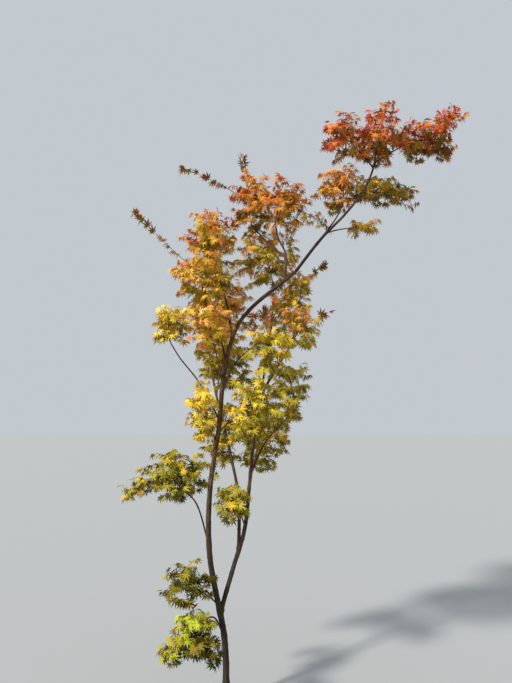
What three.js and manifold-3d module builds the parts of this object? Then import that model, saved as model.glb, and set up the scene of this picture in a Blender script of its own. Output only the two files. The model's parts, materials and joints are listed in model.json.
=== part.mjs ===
// Japanese maple tree in autumn, as three.js meshes: a trunk with a low fork, a leader that leans
// away to one side, boughs, and open masses of star-shaped leaves on branching twigs.
// Millimetres, +Z up. The origin is the middle of the flat cut at ground level, and the tree is
// seen from -Y with +X to the right.
import * as THREE from "three";
import { mergeVertices } from "three/addons/utils/BufferGeometryUtils.js";
import Module from "manifold-3d";

const wasm = await Module();
wasm.setup();

// Driving dimensions
const TRUNK_RADIUS = 15.5; // below the low fork, above the root flare
const FLARE = { spread: 17, height: 55, ribs: 5, depth: 0.16 }; // root flare at the ground
const SEAT_GAP = 0.3; // between a limb or a stem and what carries it
const SMOOTH = 0.4; // finer detail than this is smoothed away where leaves and twigs join
const SHORTEST_EDGE = 0.05; // and than this after a cut
const MERGE = 1e-3; // vertices this near are one
const STEPS_PER_BEND = 1.6; // rings of a limb for each point of its path
const SUNK = 3; // how far a limb starts inside its parent before it is cut to its seat
const SAMPLE_SPACING = 12; // between the points that a limb's bark is measured from

// Leaves are larger than life, because each stands for a small spray
const LEAF = {
  length: 170, // from the joint, where the lobes meet, to the tip of the middle lobe
  stalk: 44,
  thickness: 5,
  droop: 0.12, // how far the tips hang below the joint, as a share of the length
  hang: { least: 0.3, most: 1.3 }, // how steeply leaves hang, as a slope
  level: 0.4, // how much of its twig's own slope a leaf takes over
  roll: 2, // range of the turn round a leaf's own axis, in radians
  gap: 3, // least distance from a leaf to other leaves, twigs and limbs
  ownGap: 12, // least distance from a leaf to its own twig, beyond its stalk
  pairForward: 0.5, // how far the leaves of a pair lean along their twig
  sizes: [1, 1, 0.9, 0.9, 0.8, 0.7, 0.6, 0.45], // tried in turn until the leaf fits its place
  most: 9, // leaves of one mass
};
// Lobe tips and the notches between them: degrees from the middle lobe, and share of the length
const LOBES = [
  [0, 1],
  [42, 0.9],
  [84, 0.64],
];
const NOTCHES = [
  [21, 0.44],
  [63, 0.38],
  [160, 0.05],
];
const BLADE_TESTS = [0.35, 0.7, 1]; // where a leaf is tested, as shares of the way to its outline

// Twigs. tests are where a twig is tested, as shares of its length, and samples are how many
// points stand for it where leaves are tested.
const TWIG = {
  radius: 3.2,
  tip: 1.6,
  sides: 3,
  steps: 1,
  tests: [0.4, 0.6, 0.8, 1],
  samples: 12,
  pairsAt: [0.7, 0.4], // shares of its length where it carries pairs of leaves
  setOff: 0.4, // how far a twig runs on the way its parent goes before it bends, as a share
  spread: 0.6, // how far behind its tip it leaves the stem, as a share of the distance out
  seat: { least: 0.15, most: 0.92 },
  forward: { least: -0.85, most: 0.75 }, // range of the tips along the stem, -1 behind to 1 ahead
  inset: 75, // from the edge of the space to the tips, to leave room for the leaves
  room: 0.45, // but the tips reach at least this share of the space
  lift: 45, // how much higher the tips are than the middle of what hangs from them
};
// The stem of a mass. reach is how far past the middle of its space it runs, from 0 to 1 at the
// edge, and turn is how far a stem on a limb's side sets off along the limb.
const STEM = { radius: 4.2, tip: 2.2, steps: 3, pairsAt: [0.8], reach: 0.45, turn: 0.5 };
// Long shoots: their seat on the stem, their leaf pairs, and how small the leaves of each kind are
const WHIP = { seat: 0.7, steps: 3, pairsAt: [0.85, 0.65], leafSize: { thin: 0.45, sprig: 0.5, spray: 0.6 } };
const TIP_LEAF_AT = 0.96; // share of a twig's length where its last leaf is seated
const LIMB_CLEARANCE = 8; // least distance from a leaf or twig to a limb's bark
const MASS_CLEARANCE = 0.03; // least difference between the two nearest spaces' distances
const FILL = 2.6; // 2 makes the spaces round, and more makes them fuller at their corners
const EDGE = 1.24; // how far leaves may stand out of their mass's space
const REACH = { least: 0.86, most: 1 }; // where twigs end, as a share of their mass's space

const FIRST_SEED = 101;

// Trunk and boughs. start is the parent's name and how far along it, from 0 to 1.
// path gives the bends and the tip, and radius the two ends.
const LIMBS = [
  {
    name: "trunk",
    path: [
      [0, 0, 0],
      [0, 0, 80],
      [-10, 0, 300],
      [-85, -20, 690],
      [-88, -35, 1000],
      [-42, -50, 1345],
      [-20, -60, 1600],
      [38, -70, 1825],
      [110, -80, 1928],
      [350, -100, 2127],
    ],
    radius: [TRUNK_RADIUS, 9],
    sides: 12,
    steps: 22,
  },
  {
    name: "leader",
    start: ["trunk", 1],
    path: [
      [484, -120, 2298],
      [617, -130, 2436],
      [705, -145, 2550],
      [758, -150, 2662],
      [782, -150, 2780],
    ],
    radius: [8.4, 4.4],
  },
  {
    name: "crown_left_bough",
    start: ["leader", 0.87],
    path: [
      [710, -170, 2730],
      [660, -195, 2770],
    ],
    radius: [4, 3],
  },
  {
    name: "crown_right_bough",
    start: ["leader", 0.9],
    path: [
      [835, -130, 2755],
      [925, -100, 2820],
    ],
    radius: [4.2, 3],
  },
  {
    name: "shelf_bough",
    start: ["leader", 0.25],
    path: [
      [572, -100, 2425],
      [603, -85, 2490],
    ],
    radius: [4.8, 3.4],
  },
  {
    name: "centre_bough",
    start: ["trunk", 0.97],
    path: [
      [302, -75, 2230],
      [265, -65, 2320],
      [250, -60, 2390],
    ],
    radius: [6.4, 4.2],
  },
  {
    name: "centre_left_bough",
    start: ["centre_bough", 0.4],
    path: [
      [215, -10, 2310],
      [140, 15, 2400],
    ],
    radius: [4.6, 3.6],
  },
  {
    name: "left_top_bough",
    start: ["trunk", 0.79],
    path: [
      [-8, -45, 1960],
      [-40, -15, 2080],
      [-70, 0, 2200],
    ],
    radius: [6.6, 4.2],
  },
  {
    name: "left_mid_bough",
    start: ["trunk", 0.73],
    path: [
      [-45, -95, 1810],
      [-100, -130, 1910],
      [-115, -150, 1960],
    ],
    radius: [5.4, 3.8],
  },
  {
    name: "left_reach_bough",
    start: ["trunk", 0.6],
    path: [
      [-100, -75, 1475],
      [-160, -100, 1575],
      [-240, -125, 1675],
      [-280, -140, 1740],
    ],
    radius: [4.6, 3],
  },
  {
    name: "rear_stem",
    start: ["trunk", 0.185],
    path: [
      [30, 50, 620],
      [84, 95, 790],
      [110, 120, 1020],
      [150, 145, 1380],
      [190, 160, 1530],
    ],
    radius: [12, 8],
    sides: 9,
    steps: 16,
  },
  {
    name: "rear_left_stem",
    start: ["rear_stem", 0.26],
    path: [
      [52, 125, 950],
      [15, 155, 1136],
      [-35, 185, 1330],
      [-95, 215, 1570],
      [-130, 235, 1800],
    ],
    radius: [9.5, 5],
    sides: 8,
    steps: 14,
  },
  {
    name: "rear_right_bough",
    start: ["rear_stem", 1],
    path: [
      [255, 180, 1640],
      [345, 200, 1790],
      [392, 210, 2000],
    ],
    radius: [7.2, 4.2],
  },
  {
    name: "rear_up_bough",
    start: ["rear_stem", 0.93],
    path: [
      [196, 130, 1640],
      [222, 100, 1800],
      [240, 90, 1990],
    ],
    radius: [6.4, 4],
  },
  {
    name: "rear_back_bough",
    start: ["rear_stem", 0.8],
    path: [
      [165, 215, 1480],
      [195, 290, 1650],
      [205, 330, 1830],
    ],
    radius: [6.8, 4.4],
  },
  {
    name: "right_low_bough",
    start: ["rear_stem", 0.6],
    path: [
      [200, 95, 1250],
      [320, 60, 1380],
    ],
    radius: [5.6, 3.8],
  },
  {
    name: "front_right_bough",
    start: ["trunk", 0.66],
    path: [
      [35, -125, 1640],
      [140, -200, 1730],
    ],
    radius: [5, 3.6],
  },
  {
    name: "left_base_bough",
    start: ["trunk", 0.33],
    path: [
      [-165, 5, 950],
      [-240, 25, 1010],
    ],
    radius: [4.6, 3.4],
  },
  {
    name: "base_bough",
    start: ["trunk", 0.135],
    path: [
      [-60, -60, 420],
      [-120, -125, 425],
    ],
    radius: [4.4, 3.4],
  },
];

// Masses of foliage. Each grows from that share of its limb into an egg-shaped space, given by its
// middle and its width, depth and height. A whip is a long shoot that runs out of the space, with
// few small leaves where it is thin and larger ones where it is a sprig or a spray.
const MASSES = [
  {
    name: "crown_left",
    limb: ["crown_left_bough", 1],
    at: [590, -210, 2815],
    size: [200, 290, 215],
    twigs: 4,
    tint: "leaf_red",
  },
  {
    name: "crown_mid",
    limb: ["leader", 1],
    at: [805, -140, 2838],
    size: [290, 350, 250],
    twigs: 5,
    tint: "leaf_red",
    whips: [
      { kind: "sprig", bend: [825, -140, 2965], tip: [855, -130, 3060] },
    ],
  },
  {
    name: "crown_right",
    limb: ["crown_right_bough", 1],
    at: [1050, -70, 2875],
    size: [255, 320, 190],
    twigs: 5,
    tint: "leaf_red",
    whips: [
      { kind: "spray", bend: [1150, -40, 2990], tip: [1255, -30, 3058] },
      { kind: "spray", bend: [1150, -60, 2895], tip: [1180, -60, 2832] },
    ],
  },
  {
    name: "shelf_left",
    limb: ["shelf_bough", 1],
    at: [605, -60, 2600],
    size: [270, 290, 245],
    twigs: 4,
    tint: "leaf_orange",
  },
  {
    name: "shelf_right",
    limb: ["leader", 0.62],
    at: [805, -20, 2602],
    size: [300, 300, 130],
    twigs: 4,
    tint: "leaf_olive",
    whips: [
      { kind: "spray", bend: [915, -20, 2605], tip: [972, -20, 2578] },
    ],
  },
  {
    name: "shelf_small",
    limb: ["leader", 0.33],
    at: [715, -70, 2375],
    size: [190, 210, 90],
    twigs: 3,
    tint: "leaf_olive",
  },
  {
    name: "centre_right",
    limb: ["centre_bough", 1],
    at: [302, -95, 2488],
    size: [250, 300, 300],
    twigs: 5,
    tint: "leaf_orange",
    whips: [
      { kind: "sprig", bend: [420, -100, 2450], tip: [505, -100, 2390] },
    ],
  },
  {
    name: "centre_left",
    limb: ["centre_left_bough", 1],
    at: [130, 10, 2530],
    size: [262, 320, 350],
    twigs: 5,
    tint: "leaf_orange",
    whips: [
      { kind: "thin", bend: [-10, 10, 2655], tip: [-255, 15, 2755] },
      { kind: "thin", bend: [80, 30, 2695], tip: [68, 60, 2845] },
    ],
  },
  {
    name: "centre_inner",
    limb: ["rear_up_bough", 1],
    at: [200, 140, 2260],
    size: [385, 350, 375],
    twigs: 5,
    tint: "leaf_gold",
  },
  {
    name: "left_top",
    limb: ["left_top_bough", 1],
    at: [-110, -20, 2310],
    size: [280, 360, 350],
    twigs: 5,
    tint: "leaf_orange",
  },
  {
    name: "left_mid",
    limb: ["left_mid_bough", 1],
    at: [-120, -170, 2075],
    size: [330, 360, 285],
    twigs: 5,
    tint: "leaf_gold",
    whips: [
      { kind: "thin", bend: [-340, -110, 2280], tip: [-492, -100, 2450] },
    ],
  },
  {
    name: "left_front",
    limb: ["trunk", 0.68],
    at: [-95, -190, 1820],
    size: [250, 300, 245],
    twigs: 4,
    tint: "leaf_orange",
  },
  {
    name: "left_tip",
    limb: ["left_reach_bough", 1],
    at: [-285, -150, 1830],
    size: [210, 290, 215],
    twigs: 4,
    tint: "leaf_yellow",
  },
  {
    name: "left_rear",
    limb: ["rear_left_stem", 1],
    at: [-55, 280, 2040],
    size: [365, 370, 455],
    twigs: 5,
    tint: "leaf_gold",
  },
  {
    name: "left_inner",
    limb: ["rear_left_stem", 0.72],
    at: [-30, 90, 1665],
    size: [335, 340, 340],
    twigs: 5,
    tint: "leaf_gold",
  },
  {
    name: "left_low",
    limb: ["trunk", 0.545],
    at: [-125, -130, 1405],
    size: [160, 310, 305],
    twigs: 4,
    tint: "leaf_yellow",
  },
  {
    name: "left_low_rear",
    limb: ["rear_left_stem", 0.4],
    at: [-35, 270, 1275],
    size: [300, 350, 400],
    twigs: 5,
    tint: "leaf_yellow",
  },
  {
    name: "rear_right",
    limb: ["rear_right_bough", 1],
    at: [400, 235, 2130],
    size: [190, 280, 215],
    twigs: 4,
    tint: "leaf_gold",
    whips: [
      { kind: "thin", bend: [450, 230, 2190], tip: [530, 200, 2240] },
    ],
  },
  {
    name: "rear_back",
    limb: ["rear_back_bough", 1],
    at: [335, 380, 1995],
    size: [250, 350, 420],
    twigs: 5,
    tint: "leaf_gold",
  },
  {
    name: "right_mid",
    limb: ["rear_right_bough", 0.45],
    at: [385, 95, 1850],
    size: [225, 300, 325],
    twigs: 4,
    tint: "leaf_gold",
    whips: [
      { kind: "thin", bend: [470, 90, 1925], tip: [545, 90, 1950] },
    ],
  },
  {
    name: "right_low",
    limb: ["right_low_bough", 1],
    at: [310, 30, 1520],
    size: [240, 330, 425],
    twigs: 5,
    tint: "leaf_yellow",
  },
  {
    name: "front_right",
    limb: ["front_right_bough", 1],
    at: [205, -250, 1700],
    size: [245, 320, 270],
    twigs: 5,
    tint: "leaf_gold",
    whips: [
      { kind: "thin", bend: [205, -215, 1800], tip: [232, -200, 1945] },
      { kind: "thin", bend: [170, -190, 1800], tip: [180, -180, 1900] },
      { kind: "thin", bend: [140, -200, 1760], tip: [132, -190, 1862] },
    ],
  },
  {
    name: "centre_front",
    limb: ["trunk", 0.57],
    at: [140, -170, 1435],
    size: [260, 310, 345],
    twigs: 4,
    tint: "leaf_yellow",
  },
  {
    name: "rear_low",
    limb: ["rear_stem", 0.52],
    at: [170, 330, 1265],
    size: [340, 370, 415],
    twigs: 5,
    tint: "leaf_yellow",
  },
  {
    name: "low_shelf",
    limb: ["rear_stem", 0.36],
    at: [22, -40, 950],
    size: [192, 300, 200],
    twigs: 4,
    tint: "leaf_green",
  },
  {
    name: "left_base",
    limb: ["left_base_bough", 1],
    at: [-268, 60, 1068],
    size: [375, 370, 285],
    twigs: 5,
    tint: "leaf_green",
    whips: [
      { kind: "spray", bend: [-400, 60, 1065], tip: [-505, 60, 1000] },
    ],
  },
  {
    name: "base_upper",
    limb: ["trunk", 0.2],
    at: [-185, -80, 575],
    size: [265, 330, 205],
    twigs: 4,
    tint: "leaf_green",
  },
  {
    name: "base_spray",
    limb: ["base_bough", 1],
    at: [-125, -240, 425],
    size: [200, 330, 175],
    twigs: 5,
    tint: "leaf_yellow",
    whips: [
      { kind: "spray", bend: [-175, -260, 430], tip: [-222, -290, 370] },
      { kind: "spray", bend: [-70, -280, 420], tip: [-50, -300, 365] },
    ],
  },
];

const MATERIALS = {
  bark: { color: 0x6b5240, roughness: 0.85 },
  leaf_red: { color: 0xc4532f, roughness: 0.6 },
  leaf_orange: { color: 0xd47a30, roughness: 0.6 },
  leaf_gold: { color: 0xd29a2e, roughness: 0.6 },
  leaf_yellow: { color: 0xe0bc3a, roughness: 0.6 },
  leaf_olive: { color: 0x9a8a35, roughness: 0.6 },
  leaf_green: { color: 0xb0ab3c, roughness: 0.6 },
};

const UP = new THREE.Vector3(0, 0, 1);
const GOLDEN_ANGLE = Math.PI * (3 - Math.sqrt(5));
const vector = (p) => new THREE.Vector3(...p);

// Seeded random numbers from 0 to 1, the same in any language with 32-bit whole numbers
function randomFrom(seed) {
  let state = seed >>> 0;
  return () => {
    state = (Math.imul(state, 1664525) + 1013904223) >>> 0;
    return state / 4294967296;
  };
}

function solidFrom(points, faces) {
  return new wasm.Manifold(
    new wasm.Mesh({
      numProp: 3,
      vertProperties: new Float32Array(points.flat()),
      triVerts: new Uint32Array(faces.flat()),
    }),
  );
}

// A tapered tube along a curve, closed by a flat cap at each end. grow makes it larger all round.
function taperedTube(curve, radiusAt, sides, steps, grow = 0) {
  const frames = curve.computeFrenetFrames(steps, false);
  const points = [];
  const faces = [];
  for (let i = 0; i <= steps; i++) {
    const end = i === 0 ? -grow : i === steps ? grow : 0;
    const centre = curve.getPointAt(i / steps).addScaledVector(frames.tangents[i], end);
    for (let k = 0; k < sides; k++) {
      const angle = (2 * Math.PI * k) / sides;
      const radius = radiusAt(i / steps, angle, centre.z) + grow;
      const p = centre
        .clone()
        .addScaledVector(frames.normals[i], radius * Math.cos(angle))
        .addScaledVector(frames.binormals[i], radius * Math.sin(angle));
      points.push(p.toArray());
      if (i < steps) {
        const a = i * sides + k;
        const b = i * sides + ((k + 1) % sides);
        faces.push([a, b, b + sides], [a, b + sides, a + sides]);
      }
    }
  }
  const last = steps * sides;
  for (let k = 1; k < sides - 1; k++) {
    faces.push([0, k + 1, k], [last, last + k, last + k + 1]);
  }
  return solidFrom(points, faces);
}

// A limb's radius: an even taper, and at the trunk's foot a ribbed root flare
function limbRadius(limb) {
  const [foot, tip] = limb.radius;
  return (share, angle, height) => {
    const plain = foot + (tip - foot) * share;
    if (limb.start) return plain;
    const flare = Math.exp(-height / FLARE.height);
    return (plain + FLARE.spread * flare) * (1 + FLARE.depth * flare * Math.cos(FLARE.ribs * angle));
  };
}

function geometryOf(solid) {
  const { vertProperties, triVerts } = solid.getMesh();
  const geometry = new THREE.BufferGeometry();
  geometry.setAttribute("position", new THREE.BufferAttribute(new Float32Array(vertProperties), 3));
  geometry.setIndex(new THREE.BufferAttribute(new Uint32Array(triVerts), 1));
  return geometry;
}

// The largest piece of a cut or joined solid: scraps and sealed hollows go, and so do tiny edges
function settled(solid) {
  const largest = (s) => s.decompose().reduce((a, b) => (a.volume() > b.volume() ? a : b));
  const merged = mergeVertices(geometryOf(largest(solid).simplify(SHORTEST_EDGE)), MERGE);
  const mesh = { numProp: 3, vertProperties: merged.attributes.position.array, triVerts: merged.index.array };
  return largest(new wasm.Manifold(new wasm.Mesh(mesh)));
}

function meshOf(name, solid, slot) {
  const material = new THREE.MeshStandardMaterial({ ...MATERIALS[slot], metalness: 0, flatShading: true });
  const mesh = new THREE.Mesh(geometryOf(solid), material);
  mesh.name = name;
  return mesh;
}

// Limbs: each is a smooth curve, and is cut clear of every limb before it
const limbs = new Map();

function growLimb(limb) {
  const path = limb.path.map(vector);
  if (limb.start) {
    const parent = limbs.get(limb.start[0]);
    path.unshift(parent.curve.getPointAt(limb.start[1]));
    const back = path[0].clone().sub(path[1]).normalize();
    path[0].addScaledVector(back, limb.start[1] === 1 ? SUNK : 0);
  }
  const curve = new THREE.CatmullRomCurve3(path, false, "centripetal");
  const sides = limb.sides ?? 6;
  const steps = limb.steps ?? Math.ceil(STEPS_PER_BEND * path.length);
  const radiusAt = limbRadius(limb);
  let solid = taperedTube(curve, radiusAt, sides, steps);
  for (const other of limbs.values()) solid = solid.subtract(other.grown);
  limbs.set(limb.name, {
    curve,
    solid: settled(solid),
    grown: taperedTube(curve, radiusAt, sides, steps, SEAT_GAP),
    samples: curve.getSpacedPoints(Math.ceil(curve.getLength() / SAMPLE_SPACING)),
    radius: limb.radius,
  });
}

// How far a point is from the nearest limb's bark
function barkDistance(p) {
  let least = Infinity;
  for (const { samples, radius } of limbs.values()) {
    samples.forEach((s, i) => {
      const here = radius[0] + ((radius[1] - radius[0]) * i) / (samples.length - 1);
      least = Math.min(least, p.distanceTo(s) - here);
    });
  }
  return least;
}

// A twig sets off along the way its parent goes, and bends out to its tip
function twigCurve(from, setOff, to) {
  const bend = from.clone().addScaledVector(setOff, from.distanceTo(to) * TWIG.setOff);
  return new THREE.QuadraticBezierCurve3(from, bend, to);
}

const whipCurve = (from, { bend, tip }) =>
  new THREE.QuadraticBezierCurve3(from, vector(bend), vector(tip));

const twigTube = (curve, foot, tip, steps) =>
  taperedTube(curve, (share) => foot + (tip - foot) * share, TWIG.sides, steps);

// The egg-shaped space of a mass, with its stem, which runs from its limb past the space's middle
function spaceOf(mass) {
  const [carrier, share] = mass.limb;
  const limb = limbs.get(carrier);
  const root = limb.curve.getPointAt(share);
  const centre = vector(mass.at);
  const half = vector(mass.size).multiplyScalar(0.5);
  const along = centre.clone().sub(root).normalize();
  const side = new THREE.Vector3().crossVectors(UP, along).normalize();
  const over = new THREE.Vector3().crossVectors(along, side);
  const tangent = limb.curve.getTangentAt(share);
  const setOff = share === 1 ? tangent : tangent.multiplyScalar(STEM.turn).add(along).normalize();
  const end = along.clone().multiply(half).multiplyScalar(STEM.reach).add(centre);
  const stem = twigCurve(root, setOff, end);
  const stemTube = twigTube(stem, Math.min(limb.radius[1], STEM.radius), STEM.tip, STEM.steps);
  return { ...mass, root, centre, half, axes: [along, side, over], stem, stemTube };
}

// A point's distance from a space's middle, where 1 is the space's edge
function depthIn(space, p) {
  const { x, y, z } = p.clone().sub(space.centre).divide(space.half);
  return (Math.abs(x) ** FILL + Math.abs(y) ** FILL + Math.abs(z) ** FILL) ** (1 / FILL);
}

// True where a point is in its own mass's space, nearer to that than to any other, and off the limbs
function belongs(space, spaces, p, onWhip) {
  const own = onWhip ? 1 : depthIn(space, p);
  if (own > EDGE) return false;
  const free = spaces.every((other) => other === space || depthIn(other, p) > own + MASS_CLEARANCE);
  return free && barkDistance(p) > LIMB_CLEARANCE;
}

// A point on the middle line of a tube of that many steps, at a share of its length
function pointOnTube(curve, steps, share) {
  const i = Math.min(Math.floor(share * steps), steps - 1);
  return curve.getPointAt(i / steps).lerp(curve.getPointAt((i + 1) / steps), share * steps - i);
}

// Twig tips, spread evenly round a space that leaves room for the leaves, and their seats on the
// stem as shares of its length
function twigTips({ root, centre, half, axes, stem, twigs }, random) {
  const room = half.clone().addScalar(-TWIG.inset).max(half.clone().multiplyScalar(TWIG.room));
  const length = stem.getPoint(0).distanceTo(stem.getPoint(1));
  const { least, most } = TWIG.forward;
  const tips = [];
  for (let i = 0; i < twigs; i++) {
    const forward = least + ((most - least) * (i + 0.5)) / twigs;
    const round = Math.sqrt(1 - forward * forward);
    const turn = i * GOLDEN_ANGLE + random();
    const reach = REACH.least + (REACH.most - REACH.least) * random();
    const out = axes[0].clone().multiplyScalar(forward);
    out.addScaledVector(axes[1], round * Math.cos(turn)).addScaledVector(axes[2], round * Math.sin(turn));
    const tip = out.multiply(room).multiplyScalar(reach).add(centre).addScaledVector(UP, TWIG.lift);
    const ahead = tip.clone().sub(root).dot(axes[0]);
    const lateral = Math.sqrt(Math.max(tip.distanceToSquared(root) - ahead * ahead, 0));
    const seat = (ahead - TWIG.spread * lateral) / length;
    tips.push({ tip, seat: Math.min(Math.max(seat, TWIG.seat.least), TWIG.seat.most) });
  }
  return tips;
}

// A leaf's place: its stalk starts at p and runs out along the given way, and the blade hangs
function leafFrame(p, way, random, size) {
  const along = way.clone().setZ(LEAF.level * way.z).normalize();
  along.z -= LEAF.hang.least + (LEAF.hang.most - LEAF.hang.least) * random();
  along.normalize();
  const over = UP.clone().addScaledVector(along, -along.dot(UP)).normalize();
  over.applyAxisAngle(along, LEAF.roll * (random() - 0.5));
  const side = new THREE.Vector3().crossVectors(over, along);
  const joint = p.clone().addScaledVector(along, LEAF.stalk * size);
  return { p, along, side, over, joint, size };
}

// The outline of a leaf, from its stalk's end round its lobes and notches, in millimetres
function leafOutline({ p, along, side, over, joint, size }) {
  const lobed = [...LOBES.map((l) => [...l, true]), ...NOTCHES.map((n) => [...n, false])];
  const mirrored = lobed.filter(([angle]) => angle > 0).map(([angle, ...rest]) => [-angle, ...rest]);
  const round = [...lobed, ...mirrored].sort((a, b) => a[0] - b[0]);
  const outline = round.map(([angle, share, isTip]) => {
    const reach = share * LEAF.length * size;
    const turn = THREE.MathUtils.degToRad(angle);
    return joint
      .clone()
      .addScaledVector(along, reach * Math.cos(turn))
      .addScaledVector(side, reach * Math.sin(turn))
      .addScaledVector(over, isTip ? -LEAF.droop * reach : 0);
  });
  return [p, ...outline];
}

// A leaf's solid: a fan above and a fan below its outline, thickest at the joint
function leafSolid(frame) {
  const outline = leafOutline(frame);
  const lift = (LEAF.thickness / 2) * frame.size;
  const points = outline.map((v) => v.toArray());
  const top = points.push(frame.joint.clone().addScaledVector(frame.over, lift).toArray()) - 1;
  const under = points.push(frame.joint.clone().addScaledVector(frame.over, -lift).toArray()) - 1;
  const faces = [];
  outline.forEach((_, k) => {
    const next = (k + 1) % outline.length;
    faces.push([top, k, next], [under, next, k]);
  });
  const solid = solidFrom(points, faces);
  return solid.volume() > 0 ? solid : solidFrom(points, faces.map(([a, b, c]) => [a, c, b]));
}

// Points all over a leaf's blade, from its joint out to its outline
function leafTests(frame) {
  return leafOutline(frame)
    .slice(1)
    .flatMap((v) => BLADE_TESTS.map((share) => frame.joint.clone().lerp(v, share)));
}

const clearOf = (solid, others) => others.every((other) => solid.minGap(other, LEAF.gap) >= LEAF.gap);

// The stem of a mass, its twigs and its whips: each is a curve with its tube and its leaf pairs
function growTwigs(space, spaces, neighbours, random) {
  const { stem, stemTube } = space;
  const twigs = [{ curve: stem, solid: stemTube, steps: STEM.steps, pairsAt: STEM.pairsAt, size: 1 }];
  const add = (curve, more) => {
    const solid = twigTube(curve, TWIG.radius, TWIG.tip, more.steps);
    const tests = TWIG.tests.map((share) => pointOnTube(curve, more.steps, share));
    if (!tests.every((v) => belongs(space, spaces, v, more.onWhip))) return;
    if (clearOf(solid, neighbours)) twigs.push({ curve, solid, ...more });
  };
  const twig = { steps: TWIG.steps, pairsAt: TWIG.pairsAt, size: 1 };
  for (const { tip, seat } of twigTips(space, random)) {
    add(twigCurve(pointOnTube(stem, STEM.steps, seat), stem.getTangent(seat), tip), twig);
  }
  for (const whip of space.whips ?? []) {
    const curve = whipCurve(pointOnTube(stem, STEM.steps, WHIP.seat), whip);
    add(curve, { steps: WHIP.steps, pairsAt: WHIP.pairsAt, size: WHIP.leafSize[whip.kind], onWhip: true });
  }
  return twigs;
}

// Leaves at each twig's tip, and in pairs on opposite sides further back, where there is room
function growLeaves(twigs, space, spaces, neighbours, random) {
  const leaves = [];
  const fits = (frame, solid, own) => {
    const tests = leafTests(frame);
    if (!tests.every((v) => belongs(space, spaces, v, own.onWhip))) return false;
    const ownPoints = own.curve.getPoints(TWIG.samples).filter((q) => q.distanceTo(frame.p) > LEAF.stalk);
    if (ownPoints.some((q) => tests.some((v) => v.distanceTo(q) < LEAF.ownGap))) return false;
    const others = twigs.filter((twig) => twig !== own).map((twig) => twig.solid);
    return clearOf(solid, [...others, ...leaves, ...neighbours]);
  };
  const addLeaf = (own, share, way) => {
    if (leaves.length === LEAF.most) return;
    for (const size of LEAF.sizes) {
      const frame = leafFrame(pointOnTube(own.curve, own.steps, share), way, random, own.size * size);
      const solid = leafSolid(frame);
      if (fits(frame, solid, own)) {
        leaves.push(solid);
        return;
      }
    }
  };
  for (const twig of twigs) addLeaf(twig, TIP_LEAF_AT, twig.curve.getTangent(1));
  for (const twig of [...twigs].reverse()) {
    for (const share of twig.pairsAt) {
      const way = twig.curve.getTangent(share);
      const out = new THREE.Vector3().crossVectors(way, UP).normalize();
      way.multiplyScalar(LEAF.pairForward);
      for (const sign of [1, -1]) {
        addLeaf(twig, share, way.clone().addScaledVector(out, sign).normalize());
      }
    }
  }
  return leaves;
}

function growMass(space, spaces, neighbours, seed) {
  const random = randomFrom(seed);
  const twigs = growTwigs(space, spaces, neighbours, random);
  const leaves = growLeaves(twigs, space, spaces, neighbours, random);
  const solid = wasm.Manifold.union([...twigs.map((twig) => twig.solid), ...leaves]);
  return settled(solid.simplify(SMOOTH).subtract(limbs.get(space.limb[0]).grown));
}

const tree = new THREE.Group();
const branches = new THREE.Group();
const foliage = new THREE.Group();
tree.add(branches, foliage);

LIMBS.forEach(growLimb);
for (const { name } of LIMBS) {
  branches.add(meshOf(name, limbs.get(name).solid, "bark"));
}

const spaces = MASSES.map(spaceOf);
const grownSoFar = [...limbs.values()].map((limb) => limb.solid);
spaces.forEach((space, i) => {
  const stemsToCome = spaces.slice(i + 1).map((other) => other.stemTube);
  const mass = growMass(space, spaces, [...grownSoFar, ...stemsToCome], FIRST_SEED + i);
  grownSoFar.push(mass);
  foliage.add(meshOf(space.name, mass, space.tint));
});

export default tree;
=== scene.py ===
import json
import math
from collections import namedtuple
from functools import cache

import bpy
import numpy as np
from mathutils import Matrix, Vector, noise

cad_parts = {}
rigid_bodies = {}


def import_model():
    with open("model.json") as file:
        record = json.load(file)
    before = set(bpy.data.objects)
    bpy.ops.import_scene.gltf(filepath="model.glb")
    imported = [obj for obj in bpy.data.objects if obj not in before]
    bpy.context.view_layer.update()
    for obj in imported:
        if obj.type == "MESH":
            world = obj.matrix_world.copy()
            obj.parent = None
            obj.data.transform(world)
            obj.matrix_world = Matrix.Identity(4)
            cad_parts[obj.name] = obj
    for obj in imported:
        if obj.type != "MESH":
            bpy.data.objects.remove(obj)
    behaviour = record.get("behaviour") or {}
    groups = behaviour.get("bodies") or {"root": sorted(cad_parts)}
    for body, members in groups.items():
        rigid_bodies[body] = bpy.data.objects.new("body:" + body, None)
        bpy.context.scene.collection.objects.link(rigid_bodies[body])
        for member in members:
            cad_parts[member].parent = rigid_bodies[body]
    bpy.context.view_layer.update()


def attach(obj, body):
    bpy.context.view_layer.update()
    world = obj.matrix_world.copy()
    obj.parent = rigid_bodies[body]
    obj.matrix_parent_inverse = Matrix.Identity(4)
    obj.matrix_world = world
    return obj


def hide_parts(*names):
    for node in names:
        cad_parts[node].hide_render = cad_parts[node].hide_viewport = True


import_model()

# Japanese maple tree in autumn. The limbs get bark with its relief, and each mass of foliage
# becomes twigs and leaves that grow on from its limb by the same rule as the solids.
# Sizes are in millimetres until a mesh is made. +Z is up and the tree is seen from -Y.
METRE = 0.001

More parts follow.
